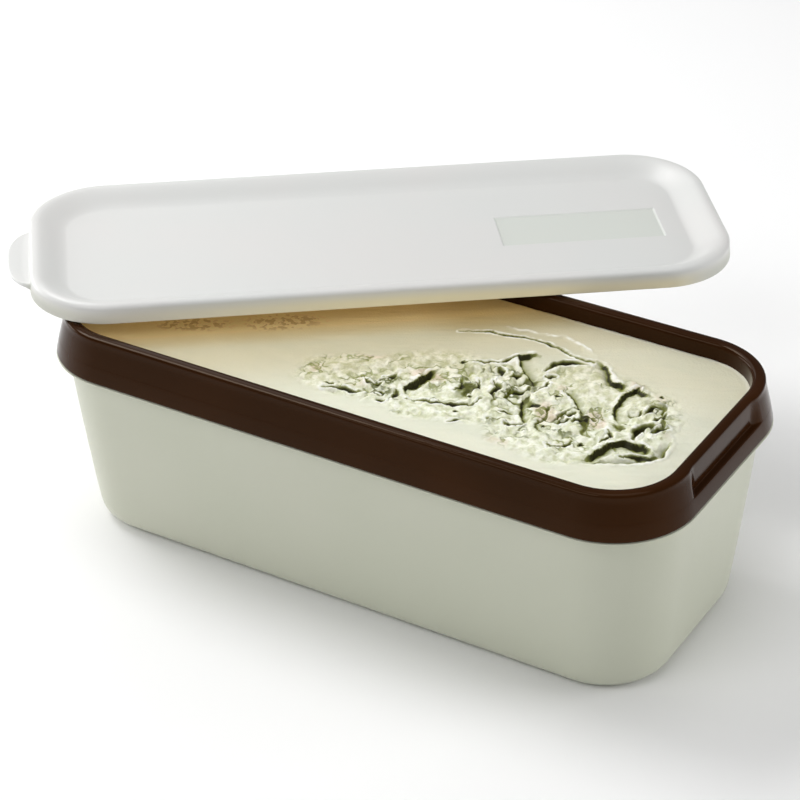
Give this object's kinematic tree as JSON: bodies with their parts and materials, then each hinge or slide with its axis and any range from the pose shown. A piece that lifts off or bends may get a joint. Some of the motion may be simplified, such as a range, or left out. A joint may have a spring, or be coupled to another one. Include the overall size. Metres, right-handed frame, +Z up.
{
  "type": "ice cream tub",
  "caption": "Long loaf-shaped plastic tub with a glossy brown rim band, filled with pale ice cream torn up by a scoop, its white recessed lid lying askew across the rim.",
  "frame": {"origin": "centre of the tub's flat base, on the surface it stands on", "axes": "+Z up; +X along the tub's long sides towards the end that the ice cream is scooped from; +Y towards the long side that the lid overhangs"},
  "size_m": [0.3053, 0.2321, 0.0992],
  "materials": {
    "body_plastic": "satin grey-beige plastic",
    "band_plastic": "glossy dark brown plastic",
    "cream": "soft, moist, pale cream",
    "lid_plastic": "satin off-white plastic"
  },
  "bodies": {
    "root": {"tub_body": "body_plastic", "rim_band": "band_plastic", "ice_cream": "cream", "lid": "lid_plastic"}
  },
  "joints": []
}
